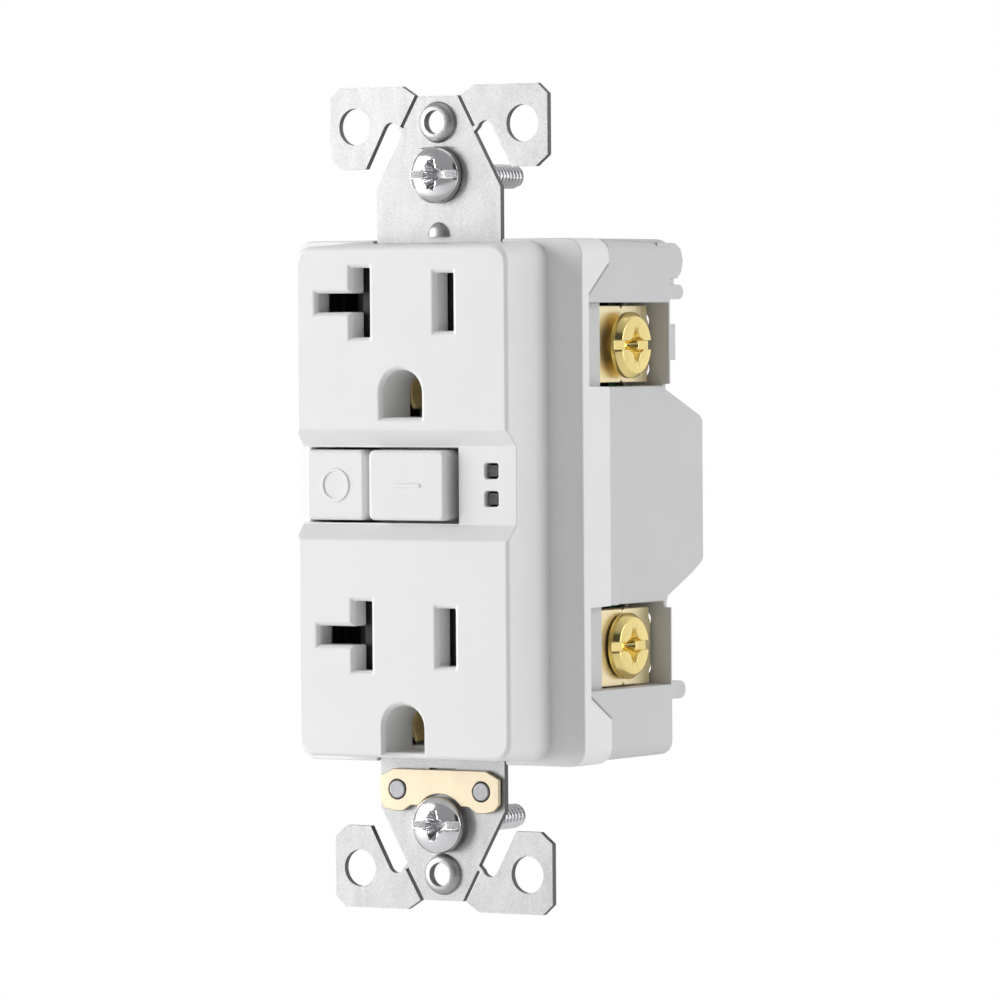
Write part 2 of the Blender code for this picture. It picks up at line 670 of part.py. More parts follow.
def make_latch():
    """The carriage that closes the contacts and the plate that the plunger pushes to release it."""
    x, z = RESET_PIN
    block = box((-10.4, 10.4), (13.1, 15.5), (z - 3.9, z + 3.9))
    bore = prism(circle(RESET_PIN, 1.9, 14), 12.0, 17.0)
    piece("latch_block", "black_plastic", block, cuts=[bore], pivot=(x, 13.1, z))
    for side, s in (("hot", 1), ("neutral", -1)):
        arm = box(sorted((7.1 * s, 10.2 * s)), (12.2, 12.9), (-18.8, 18.8))
        heights = (-17.4, 0.0, 17.4)
        bumps = [turned([(1.2, 11.8), (1.2, 12.4)], (8.6 * s, z), steps=12) for z in heights]
        piece(f"{side}_contact_arm", "bronze", arm, bumps, pivot=(8.6 * s, 12.2, z))
    plate = box((-3.2, 5.2), (18.3, 19.0), (z - 3.0, z + 3.0))
    lip = box((-3.2, -2.5), (18.3, 24.4), (z - 3.0, z + 3.0))
    hole = prism(round_rect((x - 2.4, x + 1.7), (z - 1.7, z + 1.7), 1.65, 4), 17.5, 20.0)
    piece("latch_plate", "bright_steel", plate, [lip], [hole], (-3.2, 18.3, z))


def make_solenoid():
    centre = (22.7, RESET_PIN[1])
    profile = [(4.0, -17.6), (4.0, -16.8), (3.5, -16.8), (3.5, -7.0), (4.0, -7.0), (4.0, -6.2)]
    profile += [(1.9, -6.2), (1.9, -17.6)]
    coil = turned(profile, centre, "X", 20, ring=True)
    piece("solenoid_coil", "copper_winding", coil)
    plunger = turned([(1.5, -16.4), (1.5, -5.9), (0.8, -5.9), (0.8, -3.5)], centre, "X", 14)
    piece("solenoid_plunger", "bright_steel", plunger, pivot=(-16.4, *centre))
    spring = tube(centre, 1.1, 1.8, -5.6, -3.9, "X", 10)
    piece("plunger_spring", "bright_steel", spring, pivot=(-5.6, *centre))
    height = (centre[1] - 4.0, centre[1] + 4.0)
    frame = box((-18.5, -5.1), (18.0, 18.4), height)
    ends = [box(x, (18.0, 26.6), height) for x in ((-18.5, -17.9), (-5.9, -5.1))]
    hole = prism(circle(centre, 2.3, 14), -7.0, -4.0, "X")
    piece("solenoid_frame", "zinc_steel", frame, ends, [hole])


# Electronics


def make_board():
    board = prism(rect((-15.2, 15.2), (-26.0, 26.0)), *BOARD_Y)
    opening = box((-4.2, 5.6), (BOARD_Y[0] - 1, BOARD_Y[1] + 1), (-2.4, 6.2))
    bore = prism(circle((0, -14.2), 3.4, 16), BOARD_Y[0] - 1, BOARD_Y[1] + 1)
    piece("circuit_board", "board", board, cuts=[opening, bore])
    piece("sense_coils", "component_amber", tube((0, -14.2), 3.4, 6.5, 9.3, 15.7, steps=20))
    piece("control_chip", "black_plastic", box((-4.0, 4.0), (14.4, 15.7), (15.5, 24.5)))
    capacitor = prism(round_rect((8.0, 15.0), (-7.2, -0.6), 0.6, 2), 18.0, 25.8)
    piece("filter_capacitor", "component_amber", capacitor)
    disc = turned([(3.2, 8.4), (3.6, 8.9), (3.6, 11.6), (3.2, 12.1)], (22.0, 4.3), "X", 18)
    piece("varistor", "component_blue", disc)


def make_lamps():
    for name, z in zip(("upper", "lower"), LAMP_Z):
        outline = round_rect((LAMP_X - 0.75, LAMP_X + 0.75), (z - 0.75, z + 0.75), 0.2, 2)
        pipe = prism(outline, BAND_Y + 0.5, 13.5)
        piece(f"light_pipe_{name}", "clear_plastic", pipe)
        lamp = turned([(0.8, 13.8), (1.1, 14.2), (1.1, 15.7)], (LAMP_X, z), steps=12)
        piece(f"status_lamp_{name}", "clear_plastic", lamp)


# Rear housing


def housing_adds():
    root_y, shoulder_y = BACK_Y - 0.6, HUMP_Y - 0.5
    hump = [(root_y, 14.1), (shoulder_y, 10.3), (HUMP_Y, 9.7)]
    hump += [(HUMP_Y, -8.3), (shoulder_y, -8.9), (root_y, -13.4)]
    yield prism(hump, -HOUSING_X + 0.05, HOUSING_X - 0.05, "X")
    top = rect((-HOUSING_X + 0.5, HOUSING_X - 0.5), (25.9, 32.4))
    yield prism(top, BACK_Y - 1.0, TOP_BACK_Y)
    lobe = [(18.5, 28.2), (23.7, 28.2), (24.8, 29.2), (25.2, 30.6), (24.6, 32.1), (23.2, 32.8), (18.5, 32.8)]
    for x in both_sides((18.9, HOUSING_X - 0.2)):
        yield prism(lobe, *x, "X")
        yield box(x, (BACK_Y - 1, 23.1), (17.6, 22.3))
        for radius, z in ((0.95, 26.45), (1.15, -25.3)):
            tooth = [(18.5, z - radius), *arc((25.2 - radius, z), radius, -90, 90, 8), (18.5, z + radius)]
            yield prism(tooth, *x, "X")
    upper = [(7.5, 31.2), (0.85, 25.95), (0.85, 24.6), (7.5, 24.6)]
    lower = [(7.5, -29.0), (0.85, -25.1), (0.85, -24.0), (7.5, -24.0)]
    for x in both_sides((20.05, HOUSING_X)):
        yield prism(upper, *x, "X")
        yield prism(lower, *x, "X")
    yield box((-9.35, 9.35), (GAP, 7.0), (HOUSING_Z[1] - 0.7, HOUSING_Z[1]))
    yield box((-9.35, 9.35), (GAP, 7.0), (HOUSING_Z[0], HOUSING_Z[0] + 0.9))


def housing_hollows():
    seat_x = SEPARATOR_X + GAP
    yield box((-seat_x, seat_x), (HOUSING_Y - 1, 8.9), (-32.5, 32.0))
    depth = (8.0, BACK_Y - 1.5)
    yield box((-15.6, 15.6), depth, (-26.4, 26.4))
    yield box((-13.2, 13.2), depth, (-31.6, 31.2))
    yield box((-seat_x, seat_x), depth, (-12.3, 12.8))
    hump = [(19.0, 11.6), (HUMP_Y - 1.6, 8.4), (HUMP_Y - 1.6, -7.2), (19.0, -11.0)]
    yield prism(hump, -seat_x, seat_x, "X")


def housing_cuts():
    for end in POCKET_Z:
        s = sign(end)
        for x in both_sides((15.0, 24.0)):
            yield box(x, (-1.0, BACK_Y - 0.8), POCKET_Z[end])
        for side in (1, -1):
            flank = [(21.5, 9.4 * s), (20.4, 14.0 * s), (20.4, 14.5 * s), (24, 14.5 * s), (24, 9.4 * s)]
            yield prism([(x * side, z) for x, z in flank], 8.2, 32.0)
            wire_hole = [(1.2, BACK_Y - 2), (1.2, BACK_Y - 0.5), (1.9, BACK_Y + 0.7)]
            for z in (TERMINAL_Z[end] - 3.1, TERMINAL_Z[end] + 3.1):
                yield turned(wire_hole, (17.1 * side, z), steps=18)
    for z in CASE_SCREW_Z.values():
        for x in (-CASE_SCREW_X, CASE_SCREW_X):
            yield prism(circle((x, z), 1.3, 12), 8.0, 26.0)
            yield prism(circle((x, z), 2.6, 20), CASE_HEAD_Y - GAP, 26.0)


def make_housing():
    x, z = (-HOUSING_X, HOUSING_X), HOUSING_Z
    inset = 0.5
    body = loft(
        [
            (round_rect(x, z, 1.8), HOUSING_Y),
            (round_rect(x, z, 1.8), BACK_Y - inset),
            (round_rect((x[0] + inset, x[1] - inset), (z[0] + inset, z[1] - inset), 1.2), BACK_Y),
        ]
    )
    piece("rear_housing", "housing_plastic", body, housing_adds(), (*housing_hollows(), *housing_cuts()))


def make_case_screws():
    for end, z in CASE_SCREW_Z.items():
        for side, x in (("right", CASE_SCREW_X), ("left", -CASE_SCREW_X)):
            shank = [(0.6, 0.9), (0.95, 1.6), (0.95, CASE_HEAD_Y)]
            head = [(2.3, CASE_HEAD_Y), (2.3, CASE_HEAD_Y + 0.8), (1.7, CASE_HEAD_Y + 1.4)]
            profile = [*shank, *head]
            slot = box((x - 1.4, x + 1.4), (CASE_HEAD_Y + 0.7, CASE_HEAD_Y + 2.5), (z - 0.3, z + 0.3))
            piece(f"case_screw_{end}_{side}", "zinc_steel", turned(profile, (x, z), steps=16), cuts=[slot])


def clear_scene():
    for obj in list(bpy.data.objects):
        bpy.data.objects.remove(obj, do_unlink=True)


def main():
    clear_scene()
    make_cover()
    make_strap()
    make_clip()
    make_mounting_screws()
    make_ground_contacts()
    make_tray()
    make_shutters()
    make_separator()
    make_face_contacts()
    make_terminals()
    make_clamps()
    make_ground_terminal()
    make_test_button()
    make_reset_button()
    make_latch()
    make_solenoid()
    make_board()
    make_lamps()
    make_housing()
    make_case_screws()


main()
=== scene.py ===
"""The looks of a duplex ground-fault receptacle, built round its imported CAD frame."""

import json
import math

import bmesh
import bpy
from mathutils import Matrix, Vector
from mathutils.geometry import intersect_point_line


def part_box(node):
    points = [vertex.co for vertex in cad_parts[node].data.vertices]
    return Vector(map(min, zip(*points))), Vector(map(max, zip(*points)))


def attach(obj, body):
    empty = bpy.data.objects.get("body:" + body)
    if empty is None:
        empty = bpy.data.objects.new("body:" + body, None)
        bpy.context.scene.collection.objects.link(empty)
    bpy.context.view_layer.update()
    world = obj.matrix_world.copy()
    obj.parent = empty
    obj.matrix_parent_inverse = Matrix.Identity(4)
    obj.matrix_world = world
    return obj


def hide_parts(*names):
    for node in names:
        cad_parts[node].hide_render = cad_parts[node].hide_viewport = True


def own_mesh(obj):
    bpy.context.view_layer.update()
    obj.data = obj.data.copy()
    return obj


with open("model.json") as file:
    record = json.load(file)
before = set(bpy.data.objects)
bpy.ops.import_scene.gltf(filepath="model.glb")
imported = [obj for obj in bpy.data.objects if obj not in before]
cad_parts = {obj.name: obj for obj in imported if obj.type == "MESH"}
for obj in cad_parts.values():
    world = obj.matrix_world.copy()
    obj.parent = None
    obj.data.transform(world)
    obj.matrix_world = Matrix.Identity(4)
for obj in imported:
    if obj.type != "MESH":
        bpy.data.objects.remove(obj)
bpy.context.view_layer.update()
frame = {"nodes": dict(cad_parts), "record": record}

MM = 0.001
NODES = frame["nodes"]
BODY_NODES = frame["record"]["behaviour"]["bodies"]
BODY_OF = {node: body for body, nodes in BODY_NODES.items() for node in nodes}
SLOT_OF = {entry["node"]: entry["material_slot"] for entry in frame["record"]["subparts"]}


# Camera, stage and light

CAMERA_PLACE = (0.47767, -0.75580, 0.02285)
AZIMUTH, PITCH, ROLL = 31.833, 1.479, -0.400
LENS_MM = 249.86
SENSOR_MM = 36
FLOOR_Z = -0.2
FLOOR_RADIUS = 0.9

# The fill light's strength by direction: (place from the front, 0, to the rear, 1; strength)
FILL = ((0.0, 0.34), (0.5, 0.5), (1.0, 1.0))
DARK_CARD = (0.80, -0.54, 0.26)
DARK_CARD_EDGE = (0.90, 0.95)
DARK_CARD_LEVEL = 0.12


def link(tree, source, target):
    tree.links.new(source, target)


def add_camera():
    a, e, r = (math.radians(v) for v in (AZIMUTH, PITCH, ROLL))
    back = Vector((math.sin(a) * math.cos(e), -math.cos(a) * math.cos(e), math.sin(e)))
    right = Vector((math.cos(a), math.sin(a), 0.0))
    up = back.cross(right)
    across = right * math.cos(r) + up * math.sin(r)
    upward = up * math.cos(r) - right * math.sin(r)
    data = bpy.data.cameras.new("camera")
    data.lens = LENS_MM
    data.sensor_width = SENSOR_MM
    data.clip_start = 0.01
    camera = bpy.data.objects.new("camera", data)
    turn = Matrix((across, upward, back)).transposed().to_4x4()
    camera.matrix_world = Matrix.Translation(CAMERA_PLACE) @ turn
    bpy.context.scene.collection.objects.link(camera)
    bpy.context.scene.camera = camera


def add_area(name, place, target, size, power):
    data = bpy.data.lights.new(name, "AREA")
    data.shape = "RECTANGLE"
    data.size, data.size_y = size
    data.energy = power
    lamp = bpy.data.objects.new(name, data)
    lamp.location = place
    lamp.rotation_euler = (Vector(target) - Vector(place)).to_track_quat("-Z", "Y").to_euler()
    bpy.context.scene.collection.objects.link(lamp)


def add_light():
    add_area("key_light", (-0.83, -0.58, 0.14), (0, 0, 0), (0.7, 0.75), 8.9)
    add_area("side_light", (0.76, 0.20, 0.10), (0.01, 0.01, 0), (0.4, 0.7), 2.3)
    add_area("top_light", (0.05, 0.0, 0.8), (0, 0, 0), (0.6, 0.6), 0.5)


def add_world():
    """White behind the object, and light on it that grows to the rear and dims at a dark card."""
    world = bpy.data.worlds.new("studio")
    bpy.context.scene.world = world
    world.use_nodes = True
    tree = world.node_tree
    shown = tree.nodes["Background"]
    shown.inputs["Strength"].default_value = 1.0
    shown.inputs["Color"].default_value = (1, 1, 1, 1)
    fill = tree.nodes.new("ShaderNodeBackground")
    fill.inputs["Color"].default_value = (0.975, 0.985, 1, 1)
    direction = tree.nodes.new("ShaderNodeTexCoord").outputs["Generated"]
    split = tree.nodes.new("ShaderNodeSeparateXYZ")
    link(tree, direction, split.inputs["Vector"])
    depth = tree.nodes.new("ShaderNodeMapRange")
    depth.inputs["From Min"].default_value = -1.0
    link(tree, split.outputs["Y"], depth.inputs["Value"])
    ramp = tree.nodes.new("ShaderNodeFloatCurve")
    front, middle, rear = FILL
    curve = ramp.mapping.curves[0]
    curve.points[0].location, curve.points[1].location = front, rear
    curve.points.new(*middle)
    ramp.mapping.update()
    link(tree, depth.outputs["Result"], ramp.inputs["Value"])
    facing_card = tree.nodes.new("ShaderNodeVectorMath")
    facing_card.operation = "DOT_PRODUCT"
    facing_card.inputs[1].default_value = DARK_CARD
    link(tree, direction, facing_card.inputs[0])
    card = tree.nodes.new("ShaderNodeMapRange")
    card.inputs["From Min"].default_value = DARK_CARD_EDGE[0]
    card.inputs["From Max"].default_value = DARK_CARD_EDGE[1]
    card.inputs["To Min"].default_value = 1.0
    card.inputs["To Max"].default_value = DARK_CARD_LEVEL
    link(tree, facing_card.outputs["Value"], card.inputs["Value"])
    level = tree.nodes.new("ShaderNodeMath")
    level.operation = "MULTIPLY"
    link(tree, ramp.outputs["Value"], level.inputs[0])
    link(tree, card.outputs["Result"], level.inputs[1])
    link(tree, level.outputs["Value"], fill.inputs["Strength"])
    path = tree.nodes.new("ShaderNodeLightPath")
    mix = tree.nodes.new("ShaderNodeMixShader")
    link(tree, path.outputs["Is Camera Ray"], mix.inputs["Fac"])
    link(tree, fill.outputs["Background"], mix.inputs[1])
    link(tree, shown.outputs["Background"], mix.inputs[2])
    link(tree, mix.outputs["Shader"], tree.nodes["World Output"].inputs["Surface"])


def add_floor():
    mesh = bmesh.new()
    bmesh.ops.create_circle(mesh, cap_ends=True, segments=96, radius=FLOOR_RADIUS)
    data = bpy.data.meshes.new("floor")
    mesh.to_mesh(data)
    mesh.free()
    floor = bpy.data.objects.new("floor", data)
    floor.location = (0, 0, FLOOR_Z)
    bpy.context.scene.collection.objects.link(floor)
    paint = shaded("floor_paint", (0.86, 0.86, 0.86), rough=0.7, mottle=0.02, mottle_size=40)
    data.materials.append(paint)


# Materials


def noise_node(tree, coords, scale, detail=4.0, stretch=(1, 1, 1)):
    """Noise with features of the given size in millimetres."""
    mapping = tree.nodes.new("ShaderNodeMapping")
    mapping.inputs["Scale"].default_value = [1000.0 * s / scale for s in stretch]
    link(tree, coords, mapping.inputs["Vector"])
    noise = tree.nodes.new("ShaderNodeTexNoise")
    noise.inputs["Scale"].default_value = 1.0
    noise.inputs["Detail"].default_value = detail
    link(tree, mapping.outputs["Vector"], noise.inputs["Vector"])
    return noise.outputs["Fac"]


def ramped(tree, value, low, high, start=0.3, end=0.7):
    """The value mapped to a colour between low and high."""
    ramp = tree.nodes.new("ShaderNodeValToRGB")
    first, last = ramp.color_ramp.elements
    first.position, last.position = start, end
    first.color, last.color = (*low, 1), (*high, 1)
    link(tree, value, ramp.inputs["Fac"])
    return ramp.outputs["Color"]


def ranged(tree, value, low, high):
    """The noise mapped to a number between low and high."""
    node = tree.nodes.new("ShaderNodeMapRange")
    node.inputs["From Min"].default_value = 0.3
    node.inputs["From Max"].default_value = 0.7
    node.inputs["To Min"].default_value = low
    node.inputs["To Max"].default_value = high
    link(tree, value, node.inputs["Value"])
    return node.outputs["Result"]


def bumped(tree, shader, value, depth_mm):
    bump = tree.nodes.new("ShaderNodeBump")
    bump.inputs["Distance"].default_value = depth_mm * MM
    link(tree, value, bump.inputs["Height"])
    link(tree, bump.outputs["Normal"], shader.inputs["Normal"])


def tinted(colour, share):
    """The colour, lighter by the share, or darker if it is below 0."""
    return tuple(min(1.0, max(0.0, c * (1 + share))) for c in colour)


def new_material(name):
    """A material with its node tree, its shader and the object's coordinates."""
    made = bpy.data.materials.new(name)
    made.use_nodes = True
    tree = made.node_tree
    coords = tree.nodes.new("ShaderNodeTexCoord").outputs["Object"]
    return made, tree, tree.nodes["Principled BSDF"], coords


def shaded(
    name,
    colour,
    rough=0.4,
    metal=0.0,
    mottle=0.04,
    mottle_size=6.0,
    grain=0.0,
    grain_size=0.3,
    stretch=(1, 1, 1),
    rough_spread=0.06,
):
    """A plain surface with mottled colour, uneven gloss and a fine grain, with sizes in millimetres."""
    made, tree, shader, coords = new_material(name)
    broad = noise_node(tree, coords, mottle_size, 5.0, stretch)
    tint = ramped(tree, broad, tinted(colour, -mottle), tinted(colour, mottle))
    link(tree, tint, shader.inputs["Base Color"])
    fine = noise_node(tree, coords, grain_size, 3.0, stretch)
    gloss = ranged(tree, fine, rough - rough_spread, rough + rough_spread)
    link(tree, gloss, shader.inputs["Roughness"])
    shader.inputs["Metallic"].default_value = metal
    if grain:
        bumped(tree, shader, fine, grain)
    return made


# Painted shade for the strap's sheared edges, which are left sharp: it stands for the shading of their
# rolled rounding
PAINTED_EDGE_SHADE = (0.13, 0.13, 0.135)


def zinc(name="zinc_sheet", plated=(0.50, 0.66), edge_shade=False):
    """Zinc-plated sheet with fine flecks. Its edges, which don't face along Y, can get painted shade that
    stands for the shading of their rolled rounding.
    """
    made, tree, shader, coords = new_material(name)
    flecks = noise_node(tree, coords, 0.24, 6.0)
    drawn = noise_node(tree, coords, 1.6, 4.0, (1, 1, 0.3))
    mix = tree.nodes.new("ShaderNodeMix")
    mix.data_type = "FLOAT"
    mix.inputs["Factor"].default_value = 0.35
    link(tree, flecks, mix.inputs["A"])
    link(tree, drawn, mix.inputs["B"])
    blended = mix.outputs["Result"]
    low, high = plated
    colour = ramped(tree, blended, (low, low, low * 1.01), (high, high, high), 0.32, 0.66)
    if edge_shade:
        colour = painted_edge_shade(tree, colour, PAINTED_EDGE_SHADE)
    link(tree, colour, shader.inputs["Base Color"])
    link(tree, ranged(tree, flecks, 0.34, 0.46), shader.inputs["Roughness"])
    shader.inputs["Metallic"].default_value = 0.85
    bumped(tree, shader, flecks, 0.006)
    return made


def painted_edge_shade(tree, colour, edge):
    """The colour on faces square to Y, and painted edge shade on the rest."""
    split = tree.nodes.new("ShaderNodeSeparateXYZ")
    link(tree, tree.nodes.new("ShaderNodeTexCoord").outputs["Normal"], split.inputs["Vector"])
    size = tree.nodes.new("ShaderNodeMath")
    size.operation = "ABSOLUTE"
    link(tree, split.outputs["Y"], size.inputs[0])
    share = tree.nodes.new("ShaderNodeMapRange")
    share.inputs["From Min"].default_value = 0.15
    share.inputs["From Max"].default_value = 0.5
    link(tree, size.outputs["Value"], share.inputs["Value"])
    mix = tree.nodes.new("ShaderNodeMix")
    mix.data_type = "RGBA"
    link(tree, share.outputs["Result"], mix.inputs["Factor"])
    mix.inputs["A"].default_value = (*edge, 1)
    link(tree, colour, mix.inputs["B"])
    return mix.outputs["Result"]


def brushed(name, colour, rough, stretch, depth=0.003, metal=0.88):
    """Metal with fine straight scratches along one axis."""
    return shaded(
        name,
        colour,
        rough=rough,
        metal=metal,
        mottle=0.04,
        mottle_size=2.5,
        grain=depth,
        grain_size=0.25,
        stretch=stretch,
        rough_spread=0.05,
    )


def board_mask():
    """Green solder mask over straight copper tracks, which show as a lighter pattern."""
    made = shaded("solder_mask", (0.02, 0.16, 0.07), rough=0.35, mottle=0.1, grain=0.01)
    tree = made.node_tree
    shader = tree.nodes["Principled BSDF"]
    coords = tree.nodes.new("ShaderNodeTexCoord").outputs["Object"]
    brick = tree.nodes.new("ShaderNodeTexBrick")
    brick.inputs["Scale"].default_value = 260.0
    brick.inputs["Mortar Size"].default_value = 0.012
    brick.inputs["Color1"].default_value = (0.02, 0.15, 0.07, 1)
    brick.inputs["Color2"].default_value = (0.015, 0.12, 0.055, 1)
    brick.inputs["Mortar"].default_value = (0.05, 0.28, 0.12, 1)
    swap = tree.nodes.new("ShaderNodeMapping")
    swap.inputs["Rotation"].default_value = (math.radians(90), 0, 0)
    link(tree, coords, swap.inputs["Vector"])
    link(tree, swap.outputs["Vector"], brick.inputs["Vector"])
    link(tree, brick.outputs["Color"], shader.inputs["Base Color"])
    return made


def winding():
    """Enamelled wire: fine turns side by side along X."""
    made = shaded("coil_winding", (0.45, 0.17, 0.06), rough=0.28, metal=0.6, mottle=0.1)
    tree = made.node_tree
    shader = tree.nodes["Principled BSDF"]
    coords = tree.nodes.new("ShaderNodeTexCoord").outputs["Object"]
    wave = tree.nodes.new("ShaderNodeTexWave")
    wave.bands_direction = "X"
    wave.inputs["Scale"].default_value = 500.0
    wave.inputs["Distortion"].default_value = 0.3
    link(tree, coords, wave.inputs["Vector"])
    bumped(tree, shader, wave.outputs["Fac"], 0.08)
    return made


def see_through(name, colour, rough, share):
    """A plastic that lets the given share of the light through."""
    made = shaded(name, colour, rough=rough, mottle=0.05, mottle_size=1.0)
    shader = made.node_tree.nodes["Principled BSDF"]
    shader.inputs["Transmission Weight"].default_value = share
    return made


WHITE = (0.83, 0.83, 0.825)

MATERIALS = {
    "cover_plastic": lambda: shaded(
        "moulded_cover", WHITE, 0.36, mottle=0.012, mottle_size=9, grain=0.004, grain_size=0.22
    ),
    "button_plastic": lambda: shaded(
        "moulded_button", WHITE, 0.33, mottle=0.012, mottle_size=7, grain=0.003, grain_size=0.2
    ),
    # The housing's grey is partly its own greyer plastic and partly painted shade, so its sides show
    # darker than the cover's skirt
    "housing_plastic": lambda: shaded(
        "moulded_housing", (0.62, 0.62, 0.62), 0.5, mottle=0.02, mottle_size=8, grain=0.01, grain_size=0.25
    ),
    "black_plastic": lambda: shaded("black_nylon", (0.016, 0.015, 0.014), 0.5, mottle=0.2, grain=0.01),
    "clear_plastic": lambda: see_through("smoked_polycarbonate", (0.10, 0.10, 0.105), 0.22, 0.35),
    "lamp_lens": lambda: see_through("lamp_resin", (0.55, 0.75, 0.55), 0.12, 0.6),
    "zinc_steel": zinc,
    "strap_zinc": lambda: zinc("strap_zinc", (0.36, 0.52), edge_shade=True),
    "bright_steel": lambda: shaded(
        "bright_plate", (0.74, 0.74, 0.75), 0.14, 1.0, mottle=0.05, mottle_size=2, rough_spread=0.02
    ),
    "rivet_steel": lambda: shaded(
        "rivet_steel", (0.36, 0.36, 0.37), 0.42, 0.7, mottle=0.12, mottle_size=0.8, grain=0.006
    ),
    "green_steel": lambda: shaded(
        "green_plate", (0.05, 0.33, 0.14), 0.3, 0.75, mottle=0.12, mottle_size=1.2, grain=0.006
    ),
    "brass": lambda: brushed("brass_plate", (0.62, 0.53, 0.39), 0.38, (1, 1, 0.3)),
    "clamp_brass": lambda: brushed("clamp_brass", (1.0, 0.85, 0.54), 0.32, (1, 1, 0.12), 0.004, 0.95),
    "screw_brass": lambda: brushed("polished_brass", (0.93, 0.75, 0.30), 0.2, (1, 0.3, 1), 0.0012, 1.0),
    "nickel": lambda: brushed("nickel_plate", (0.82, 0.81, 0.78), 0.36, (1, 1, 0.3)),
    "screw_nickel": lambda: brushed("polished_nickel", (0.84, 0.83, 0.80), 0.2, (1, 0.3, 1), 0.0012, 1.0),
    # The bronze is partly its own gold colour and partly painted light: painted lighter and less metallic
    # so the contacts deep in the housing look lit
    "bronze": lambda: brushed("spring_bronze", (0.98, 0.78, 0.38), 0.42, (1, 0.3, 1), metal=0.3),
    "fibre": lambda: shaded(
        "pressed_fibre", (0.40, 0.11, 0.07), 0.8, mottle=0.2, mottle_size=0.8, grain=0.03
    ),
    "board": board_mask,
    "winding": winding,
    "blue_epoxy": lambda: shaded(
        "dipped_epoxy", (0.05, 0.14, 0.42), 0.25, mottle=0.12, mottle_size=2, grain=0.02, grain_size=0.8
    ),
    "amber_film": lambda: shaded(
        "amber_film", (0.50, 0.29, 0.06), 0.3, mottle=0.12, mottle_size=1.5, grain=0.01
    ),
}
MADE = {}


def material(slot):
    """The material of the slot, made the first time it is asked for."""
    if slot not in MADE:
        MADE[slot] = MATERIALS[slot]()
    return MADE[slot]


# Meshes

# Corners below the first angle are smooth in the shading, and below the second they stay unrounded
SMOOTH_BELOW = math.radians(36)
ROUND_ABOVE = math.radians(32)
SHELL_SEGMENTS = 3

# A rounding with no room is drawn back by this share at a time, along edges that run near it
DRAW_BACK = 0.45
LEAST_ROUNDING = 0.15
NEAR_EDGE_WIDTHS = 2.2
ROUNDING_TRIES = 8


def box_mm(node):
    """The low and high corners of the CAD node, in millimetres."""
    return [[v / MM for v in corner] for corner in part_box(node)]


def centre_of(node):
    low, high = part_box(node)
    return [(a + b) / 2 / MM for a, b in zip(low, high)]


def place_on(obj, node):
    """The piece stands for the CAD node, on its body."""
    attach(obj, BODY_OF[node])
    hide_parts(node)


def new_object(name, mesh, material):
    data = bpy.data.meshes.new(name)
    mesh.to_mesh(data)
    mesh.free()
    data.shade_smooth()
    obj = bpy.data.objects.new(name, data)
    bpy.context.scene.collection.objects.link(obj)
    data.materials.append(material)
    return obj


def settle(obj):
    """Turns the object's modifiers into its mesh."""
    bpy.context.view_layer.update()
    graph = bpy.context.evaluated_depsgraph_get()
    made = bpy.data.meshes.new_from_object(obj.evaluated_get(graph))
    obj.modifiers.clear()
    old = obj.data
    obj.data = made
    bpy.data.meshes.remove(old)


def finish_shading(obj):
    """Smooth over rounded edges, flat over flat faces and sharp where an edge stays hard."""
    obj.data.shade_smooth()
    obj.data.set_sharp_from_angle(angle=SMOOTH_BELOW)
    weighted = obj.modifiers.new("flat", "WEIGHTED_NORMAL")
    weighted.weight = 100
    weighted.keep_sharp = True


def soften(obj, width_mm, angle):
    """Rounds the edges sharper than the angle and lets flat faces stay flat in the shading."""
    bevel = obj.modifiers.new("edge", "BEVEL")
    bevel.width = width_mm * MM
    bevel.segments = 2
    bevel.limit_method = "ANGLE"
    bevel.angle_limit = math.radians(angle)
    bevel.use_clamp_overlap = False
    settle(obj)
    finish_shading(obj)


def repaint(obj, slot):
    obj.data.materials.clear()
    obj.data.materials.append(material(slot))


def clean_copy(node, whole_faces=True):
    """The CAD node's mesh with shared corners, and with no needless edges if whole_faces is set."""
    mesh = bmesh.new()
    mesh.from_mesh(NODES[node].data)
    bmesh.ops.remove_doubles(mesh, verts=mesh.verts[:], dist=0.002 * MM)
    if whole_faces:
        flat = math.radians(0.6)
        bmesh.ops.dissolve_limit(mesh, angle_limit=flat, verts=mesh.verts[:], edges=mesh.edges[:])
    bmesh.ops.recalc_face_normals(mesh, faces=mesh.faces[:])
    return mesh


def overlap_spots(mesh):
    """Places where a face's own edges cross, because roundings ran into each other."""
    mesh.calc_loop_triangles()
    tiled = {}
    for triangle in mesh.loop_triangles:
        tiled[triangle.polygon_index] = tiled.get(triangle.polygon_index, 0.0) + triangle.area
    spots = []
    for face in mesh.polygons:
        if tiled.get(face.index, 0.0) > face.area * 1.002 + 1e-10:
            spots += crossings([mesh.vertices[i].co for i in face.vertices], face.normal)
    return spots


def crossings(corners, normal):
    """Places where the sides of a flat loop of corners cross."""
    across = normal.orthogonal().normalized()
    along = normal.cross(across)
    flat = [Vector((c.dot(across), c.dot(along))) for c in corners]
    count = len(flat)
    spots = []
    for i in range(count):
        start, side = flat[i], flat[(i + 1) % count] - flat[i]
        for j in range(i + 2, count):
            if (j + 1) % count == i:
                continue
            other = flat[(j + 1) % count] - flat[j]
            area = side.cross(other)
            if abs(area) < 1e-18:
                continue
            gap = flat[j] - start
            t, u = gap.cross(other) / area, gap.cross(side) / area
            if 1e-4 < t < 1 - 1e-4 and 1e-4 < u < 1 - 1e-4:
                spots.append(corners[i].lerp(corners[(i + 1) % count], t))
    return spots


